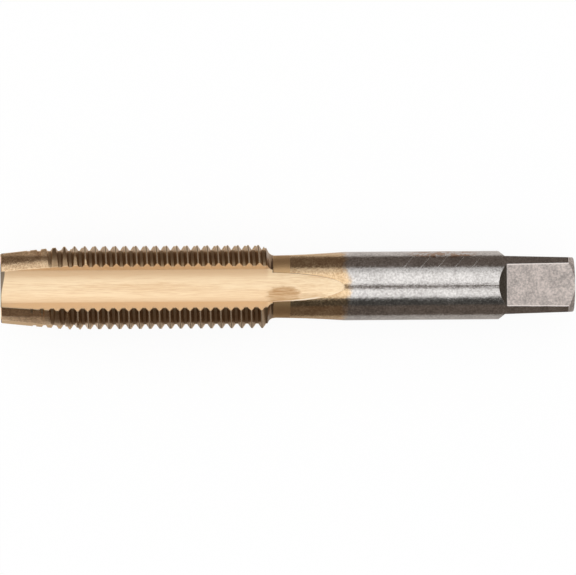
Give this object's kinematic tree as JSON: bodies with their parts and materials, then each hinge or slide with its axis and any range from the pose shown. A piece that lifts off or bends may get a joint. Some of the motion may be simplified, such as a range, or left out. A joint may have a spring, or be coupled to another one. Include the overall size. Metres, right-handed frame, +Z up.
{
  "type": "thread tap",
  "caption": "Hand tap that cuts an internal right-hand metric thread: tapered lead, straight flutes, plain round shank and a square drive end.",
  "frame": {"origin": "on the surface the tap lies on, below the middle of its length", "axes": "+X along the tap's axis from the cutting end to the square drive, +Z up, one flute facing up"},
  "size_m": [0.0846, 0.0122, 0.0123],
  "materials": {
    "tool_steel": "satin, straw-gold coat on the cutting end, bare grey steel behind it"
  },
  "bodies": {
    "root": {"tap": "tool_steel"}
  },
  "joints": []
}
